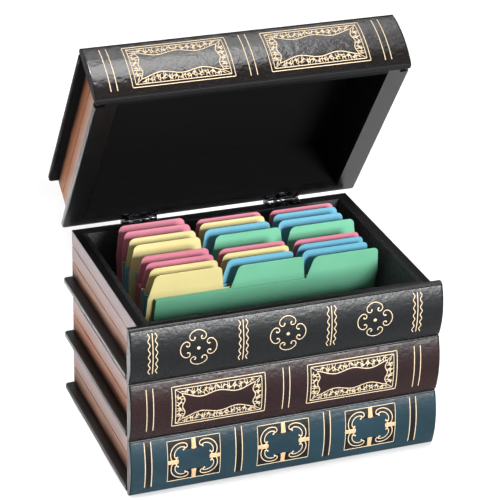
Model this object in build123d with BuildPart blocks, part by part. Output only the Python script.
"""Recipe card box built as a stack of four antique books.

The three lower books are one open box, the top book is its hinged lid, and two sets of
tabbed dividers stand inside. The box is modelled with the lid closed and the lid is then
swung open about its hinge line. Millimetres. +Z is up, the spines face -Y, the hinges are
at +Y, and the origin is the centre of the underside of the box.
"""

import os
from math import cos, radians, sin

from build123d import *

os.makedirs("parts", exist_ok=True)

# ---- Books: cover boards, page blocks and spines --------------------------------------
book_length = 208.0  # cover boards and spines, along X
cover_overhang = 6.5  # covers past the page blocks, at each end
page_depth = 141.0  # page blocks of the box, from the rear face to the spines
lid_reach = 2.0  # the lid's book is this much deeper, as a lip to lift it by
lower_book = 40.0  # height of each book, with the cover board under it
middle_book = 40.5
upper_book = 37.5
lid_book = 40.5  # height of the lid's book, with both of its cover boards
board = 4.0  # thickness of a cover board
board_corner = 2.0  # rounding of a board's two rear corners
board_edge = 1.0  # rounding of a board's long outer edges
joint_groove = 3.0  # open groove between a cover board's end and the spine
moulding = 5.0  # thickness of the grooved strips that look like page edges
grooves = 2  # grooves along each strip
groove_width = 0.9
groove_depth = 0.7
spine_edge = 3.5  # thickness of a spine at its top and bottom edges
spine_bulge = 4.0  # how far the middle of a spine stands out past its edges
spine_corner = 2.0  # rounding where the bulge meets the flat edges

# ---- Inner case ----------------------------------------------------------------------
case = 3.0  # thickness of the panels of the inner case
floor = 4.0  # thickness of the floor panel, on the bottom cover board

# ---- Lid and hinges ------------------------------------------------------------------
lid_open = 56.0  # how far the lid stands open, in degrees from closed
lid_gap = 0.4  # between the rim and the closed lid
hinge_length = 25.0
hinge_spacing = 101.6  # between the middles of the two hinges
leaf = 0.8  # thickness of a hinge leaf
leaf_reach = 7.3  # of a leaf, inwards from the rear face
leaf_gap = 0.1  # between the two leaves when the lid is closed
leaf_fit = 0.1  # clearance around a leaf in its recess
barrel_radius = 1.6
barrel_gap = 0.2  # between the barrel and the rear face
knuckles = 5
knuckle_gap = 0.16  # between neighbouring knuckles
pin_radius = 0.8
pin_fit = 0.05  # radial clearance of the pin in the knuckles
screw_spacing = 15.0  # between the two screws of a leaf
screw_setback = 3.4  # of the screws from the rear face
screw_length = 9.0
screw_radius = 0.8
screw_head_radius = 1.5
screw_fit = 0.03  # clearance around a screw
slot_width = 0.4
slot_depth = 0.3

# ---- Dividers ------------------------------------------------------------------------
card_width = 152.4  # six inches
card_height = 101.6  # four inches, without the tab
card_thickness = 0.4
card_pitch = 0.65  # from one card to the next, where they stand on the floor
card_lift = 0.35  # from the floor to a card's bottom edge
card_setback = 42.0  # of the last card's bottom edge from the rear face
tab_height = 19.05  # three quarters of an inch
tab_places = 3  # side by side along a card's top edge
tab_shoulder = 0.2  # each tab's foot stops this short of its share of the card
tab_slope = 3.2  # how much narrower a tab is at the top, at each side
tab_corner = 4.0  # rounding of a tab's top corners
card_x = 1.0  # the cards stand this far right of the middle
green_x = 5.0  # the green cards stand a little further right
front_x = 0.8  # the front set stands this much further right than the rear set
front_step = 0.2  # and each of its cards this much further right than the one behind it
rear_leans = [-9.1, -5.5, -4.9, -4.3, -3.1, -2.5, 0.1, 0.7, 1.3, 3.7, 4.5, 5.3]
front_leans = [9.6, 11.2, 11.8, 12.4, 13.0, 13.6, 14.6, 15.2, 15.8, 17.2, 17.8, 18.4]
green_cards = 2  # the last cards of each set, towards the front

# ---- Places that follow from the sizes above -------------------------------------------
page_length = book_length - 2 * cover_overhang
rear_y = page_depth / 2
spine_y = rear_y - page_depth  # backs of the box's spines
lid_spine_y = spine_y - lid_reach
wall = moulding + case  # full thickness of the side and rear walls
inner_x = page_length / 2 - wall
inner_rear_y = rear_y - wall
middle_z = lower_book  # undersides of the books
upper_z = middle_z + middle_book
rim_z = upper_z + upper_book
floor_z = board + floor
lid_z = rim_z + lid_gap
lid_top_z = lid_z + lid_book
hinge_y = rear_y + barrel_gap + barrel_radius
hinge_z = rim_z + lid_gap / 2
leaf_proud = (lid_gap - leaf_gap) / 2  # of a leaf above its face
hinge_axis = Axis((0, hinge_y, hinge_z), (1, 0, 0))
hinge_places = [-hinge_spacing / 2, hinge_spacing / 2]


def save(piece, name, swing=0.0):
    """Label the piece, turn it about the hinge line by swing degrees, and write it."""
    piece.part.label = name
    finished = piece.part.rotate(hinge_axis, swing) if swing else piece.part
    finished.label = name
    export_step(finished, f"parts/{name}.step")


def panel(x, y, z, seats=None):
    """A flat rectangular piece between the pairs of limits x, y and z, less any seats."""
    with BuildPart() as piece:
        with BuildSketch(Plane.XY.offset(z[0])):
            with Locations(((x[0] + x[1]) / 2, (y[0] + y[1]) / 2)):
                Rectangle(x[1] - x[0], y[1] - y[0])
        extrude(amount=z[1] - z[0])
        if seats:
            add(seats.part, mode=Mode.SUBTRACT)
    return piece


def cover_board(front_y, z, opening_wall=None, seats=None):
    """A cover board: overhangs both ends, and stops short of the spine in the overhang.

    With an opening_wall it is a U that leaves walls of that thickness, open to the front.
    """
    with BuildPart() as piece:
        with BuildSketch(Plane.XY.offset(z)) as outline:
            cover_front = front_y + joint_groove
            with Locations((0, (rear_y + cover_front) / 2)):
                Rectangle(book_length, rear_y - cover_front)
            fillet(outline.vertices().group_by(Axis.Y)[-1], board_corner)
            with Locations((0, (rear_y + front_y) / 2)):
                Rectangle(page_length, rear_y - front_y)
            if opening_wall:
                opening_rear = rear_y - opening_wall
                with Locations((0, (opening_rear + front_y) / 2)):
                    Rectangle(
                        page_length - 2 * opening_wall,
                        opening_rear - front_y,
                        mode=Mode.SUBTRACT,
                    )
        extrude(amount=board)
        sides = piece.edges().filter_by(Axis.Y).group_by(Axis.X)
        fillet(sides[0] + sides[-1], board_edge)
        if seats:
            add(seats.part, mode=Mode.SUBTRACT)
    return piece


def groove_heights(z):
    """Heights of the grooves, spread evenly between the pair of limits z."""
    return [z[0] + (z[1] - z[0]) * (n + 1) / (grooves + 1) for n in range(grooves)]


def page_side(side, thickness, front_y, z):
    """The strip of page edges at the left (side -1) or right (side 1) end of a book."""
    outer = page_length / 2
    limits = sorted((side * outer, side * (outer - thickness)))
    with BuildPart() as piece:
        with BuildSketch(Plane.XY.offset(z[0])):
            with Locations((sum(limits) / 2, (rear_y + front_y) / 2)):
                Rectangle(thickness, rear_y - front_y)
        extrude(amount=z[1] - z[0])
        with BuildSketch(Plane.YZ.offset(side * outer)):
            with Locations(*[((rear_y + front_y) / 2, height) for height in groove_heights(z)]):
                Rectangle(rear_y - front_y, groove_width)
        extrude(amount=-side * groove_depth, mode=Mode.SUBTRACT)
    return piece


def page_back(thickness, half_length, z, seats=None):
    """The strip of page edges along the rear of a book, between its two side strips."""
    with BuildPart() as piece:
        with BuildSketch(Plane.XY.offset(z[0])):
            with Locations((0, rear_y - thickness / 2)):
                Rectangle(2 * half_length, thickness)
        extrude(amount=z[1] - z[0])
        with BuildSketch(Plane.XZ.offset(-rear_y)):
            with Locations(*[(0, height) for height in groove_heights(z)]):
                Rectangle(2 * half_length, groove_width)
        extrude(amount=groove_depth, mode=Mode.SUBTRACT)
        if seats:
            add(seats.part, mode=Mode.SUBTRACT)
    return piece


def spine(back_y, z, height):
    """A spine: flat behind, bulging to the front, with slightly rounded edges."""
    edge_y = back_y - spine_edge
    with BuildPart() as piece:
        with BuildSketch(Plane.YZ.offset(-book_length / 2)) as end:
            with BuildLine():
                Polyline((edge_y, z), (back_y, z), (back_y, z + height), (edge_y, z + height))
                middle = (edge_y - spine_bulge, z + height / 2)
                ThreePointArc((edge_y, z), middle, (edge_y, z + height))
            make_face()
            fillet(end.vertices().group_by(Axis.X)[0], spine_corner)
        extrude(amount=book_length)
    return piece


def knuckle_limits(x, lid_side):
    """The pairs of X limits of the knuckles of one leaf: the lid has the even ones."""
    share = hinge_length / knuckles
    low = x - hinge_length / 2
    return [
        (low + n * share + knuckle_gap / 2, low + (n + 1) * share - knuckle_gap / 2)
        for n in range(1 if lid_side else 0, knuckles, 2)
    ]


def screw_places(x):
    """The X places of the two screws of the leaf of the hinge at x."""
    return [x - screw_spacing / 2, x + screw_spacing / 2]


def leaf_face(lid_side):
    """The height of a leaf's countersunk face, which is towards the other leaf."""
    return lid_z - leaf_proud if lid_side else rim_z + leaf_proud


def inwards(lid_side):
    """The direction from a leaf's face into the wood: up in the lid, down in the box."""
    return 1 if lid_side else -1


def screw_head(x, lid_side, clearance):
    """A countersunk screw head, or its seat, across the thickness of the leaf."""
    face = Plane.XY.offset(leaf_face(lid_side))
    with BuildPart() as piece:
        with BuildSketch(face):
            with Locations((x, rear_y - screw_setback)):
                Circle(screw_head_radius + clearance)
        with BuildSketch(face.offset(inwards(lid_side) * leaf)):
            with Locations((x, rear_y - screw_setback)):
                Circle(screw_radius + clearance)
        loft()
    return piece


def hinge_leaf(x, lid_side):
    """One leaf of a butt hinge with its knuckles, bore and countersunk screw holes."""
    face = leaf_face(lid_side)
    plate_z = sorted((face, face + inwards(lid_side) * leaf))
    head_seats = [screw_head(place, lid_side, screw_fit).part for place in screw_places(x)]
    with BuildPart() as piece:
        with BuildSketch(Plane.XY.offset(plate_z[0])):
            with Locations((x, rear_y - leaf_reach / 2)):
                Rectangle(hinge_length, leaf_reach)
            for low, high in knuckle_limits(x, lid_side):
                with Locations(((low + high) / 2, (rear_y + hinge_y) / 2)):
                    Rectangle(high - low, hinge_y - rear_y)
        extrude(amount=leaf)
        for low, high in knuckle_limits(x, lid_side):
            with BuildSketch(Plane.YZ.offset(low)):
                with Locations((hinge_y, hinge_z)):
                    Circle(barrel_radius)
            extrude(amount=high - low)
        with BuildSketch(Plane.YZ.offset(x - hinge_length / 2)):
            with Locations((hinge_y, hinge_z)):
                Circle(pin_radius + pin_fit)
        extrude(amount=hinge_length, mode=Mode.SUBTRACT)
        add(head_seats, mode=Mode.SUBTRACT)
    return piece


def hinge_pin(x):
    """The pin through all the knuckles of one hinge."""
    with BuildPart() as piece:
        with BuildSketch(Plane.YZ.offset(x - hinge_length / 2)):
            with Locations((hinge_y, hinge_z)):
                Circle(pin_radius)
        extrude(amount=hinge_length)
    return piece


def shank_below(lid_side):
    """The height of the end of a screw's shank, deep in the wood."""
    return leaf_face(lid_side) + inwards(lid_side) * screw_length


def hinge_screws(lid_side):
    """The four slotted countersunk screws that hold the two leaves on one side."""
    neck = leaf_face(lid_side) + inwards(lid_side) * leaf
    places = [place for x in hinge_places for place in screw_places(x)]
    centres = [(place, rear_y - screw_setback) for place in places]
    heads = [screw_head(place, lid_side, 0).part for place in places]
    with BuildPart() as piece:
        add(heads)
        with BuildSketch(Plane.XY.offset(neck)):
            with Locations(*centres):
                Circle(screw_radius)
        extrude(amount=shank_below(lid_side) - neck)
        with BuildSketch(Plane.XY.offset(leaf_face(lid_side))):
            with Locations(*centres):
                Rectangle(2 * screw_head_radius, slot_width)
        extrude(amount=inwards(lid_side) * slot_depth, mode=Mode.SUBTRACT)
    return piece


def hinge_seats(lid_side):
    """The recesses of both leaves on one side, with the holes drilled for their screws."""
    face = Plane.XY.offset(lid_z if lid_side else rim_z)
    depth = leaf - leaf_proud
    hole = abs(shank_below(lid_side) - face.origin.Z)
    centres = [(place, rear_y - screw_setback) for x in hinge_places for place in screw_places(x)]
    with BuildPart() as piece:
        with BuildSketch(face):
            with Locations(*[(x, rear_y - (leaf_reach + leaf_fit) / 2) for x in hinge_places]):
                Rectangle(hinge_length + 2 * leaf_fit, leaf_reach + leaf_fit)
        extrude(amount=inwards(lid_side) * depth)
        with BuildSketch(face):
            with Locations(*centres):
                Circle(screw_radius + screw_fit)
        extrude(amount=inwards(lid_side) * hole)
    return piece


def divider(place, lean, tab, x):
    """A tabbed card: place along the row, lean to the front in degrees, tab from the left."""
    foot_y = rear_y - card_setback - place * card_pitch
    tilt = radians(lean)
    face = Plane(
        (x, foot_y, floor_z + card_lift), x_dir=(1, 0, 0), z_dir=(0, -cos(tilt), -sin(tilt))
    )
    share = card_width / tab_places
    with BuildPart() as piece:
        with BuildSketch(face) as outline:
            with Locations((0, card_height / 2)):
                Rectangle(card_width, card_height)
            left = share * tab - card_width / 2 + tab_shoulder
            right = share * (tab + 1) - card_width / 2 - tab_shoulder
            with BuildLine():
                Polyline(
                    (left, card_height),
                    (right, card_height),
                    (right - tab_slope, card_height + tab_height),
                    (left + tab_slope, card_height + tab_height),
                    close=True,
                )
            make_face()
            fillet(outline.vertices().group_by(Axis.Y)[-1], tab_corner)
        extrude(amount=card_thickness / 2, both=True)
    return piece


# ---- The box: inner case ---------------------------------------------------------------
case_length = page_length - 2 * moulding
case_rear_y = rear_y - moulding
case_z = (board, rim_z)

save(cover_board(spine_y, 0), "bottom_board")
floor_panel = panel((-inner_x, inner_x), (spine_y + case, inner_rear_y), (board, floor_z))
save(floor_panel, "floor_panel")
save(panel((-inner_x, inner_x), (spine_y, spine_y + case), case_z), "case_front")
box_seats = hinge_seats(lid_side=False)
case_back = panel((-inner_x, inner_x), (inner_rear_y, case_rear_y), case_z, box_seats)
save(case_back, "case_back")
save(panel((-case_length / 2, -inner_x), (spine_y, case_rear_y), case_z), "case_left")
save(panel((inner_x, case_length / 2), (spine_y, case_rear_y), case_z), "case_right")

# ---- The box: three books around the case -----------------------------------------------
books = [
    ("lower", 0.0, lower_book),
    ("middle", middle_z, middle_book),
    ("upper", upper_z, upper_book),
]
for name, bottom, height in books:
    pages = (bottom + board, bottom + height)
    save(page_side(-1, moulding, spine_y, pages), f"pages_{name}_left")
    save(page_side(1, moulding, spine_y, pages), f"pages_{name}_right")
    back_pages = page_back(moulding, case_length / 2, pages, box_seats)
    save(back_pages, f"pages_{name}_back")
    save(spine(spine_y, bottom, height), f"spine_{name}")
    if bottom:
        save(cover_board(spine_y, bottom, opening_wall=moulding), f"{name}_board")

# ---- The lid: the top book --------------------------------------------------------------
lid_seats = hinge_seats(lid_side=True)
frame_board = cover_board(lid_spine_y, lid_z, opening_wall=wall, seats=lid_seats)
save(frame_board, "lid_frame_board", -lid_open)
save(cover_board(lid_spine_y, lid_top_z - board), "lid_top_board", -lid_open)
lid_front = panel(
    (-inner_x, inner_x), (lid_spine_y, lid_spine_y + case), (lid_z, lid_top_z - board)
)
save(lid_front, "lid_front_wall", -lid_open)
save(spine(lid_spine_y, lid_z, lid_book), "lid_spine", -lid_open)
lid_pages = (lid_z + board, lid_top_z - board)
save(page_side(-1, wall, lid_spine_y, lid_pages), "lid_pages_left", -lid_open)
save(page_side(1, wall, lid_spine_y, lid_pages), "lid_pages_right", -lid_open)
lid_back = page_back(wall, inner_x, lid_pages, lid_seats)
save(lid_back, "lid_pages_back", -lid_open)

# ---- Hinges ----------------------------------------------------------------------------
for side, x in zip(("left", "right"), hinge_places):
    save(hinge_leaf(x, lid_side=False), f"hinge_{side}_box_leaf")
    save(hinge_leaf(x, lid_side=True), f"hinge_{side}_lid_leaf", -lid_open)
    save(hinge_pin(x), f"hinge_{side}_pin")
save(hinge_screws(lid_side=False), "box_hinge_screws")
save(hinge_screws(lid_side=True), "lid_hinge_screws", -lid_open)

# ---- Dividers --------------------------------------------------------------------------
for row, leans in (("rear", rear_leans), ("front", front_leans)):
    for number, lean in enumerate(leans):
        place = number + (len(rear_leans) if row == "front" else 0)
        x = green_x if number >= len(leans) - green_cards else card_x
        if row == "front":
            x += front_x + number * front_step
        card = divider(place, lean, number % tab_places, x)
        save(card, f"divider_{row}_{number + 1:02d}")
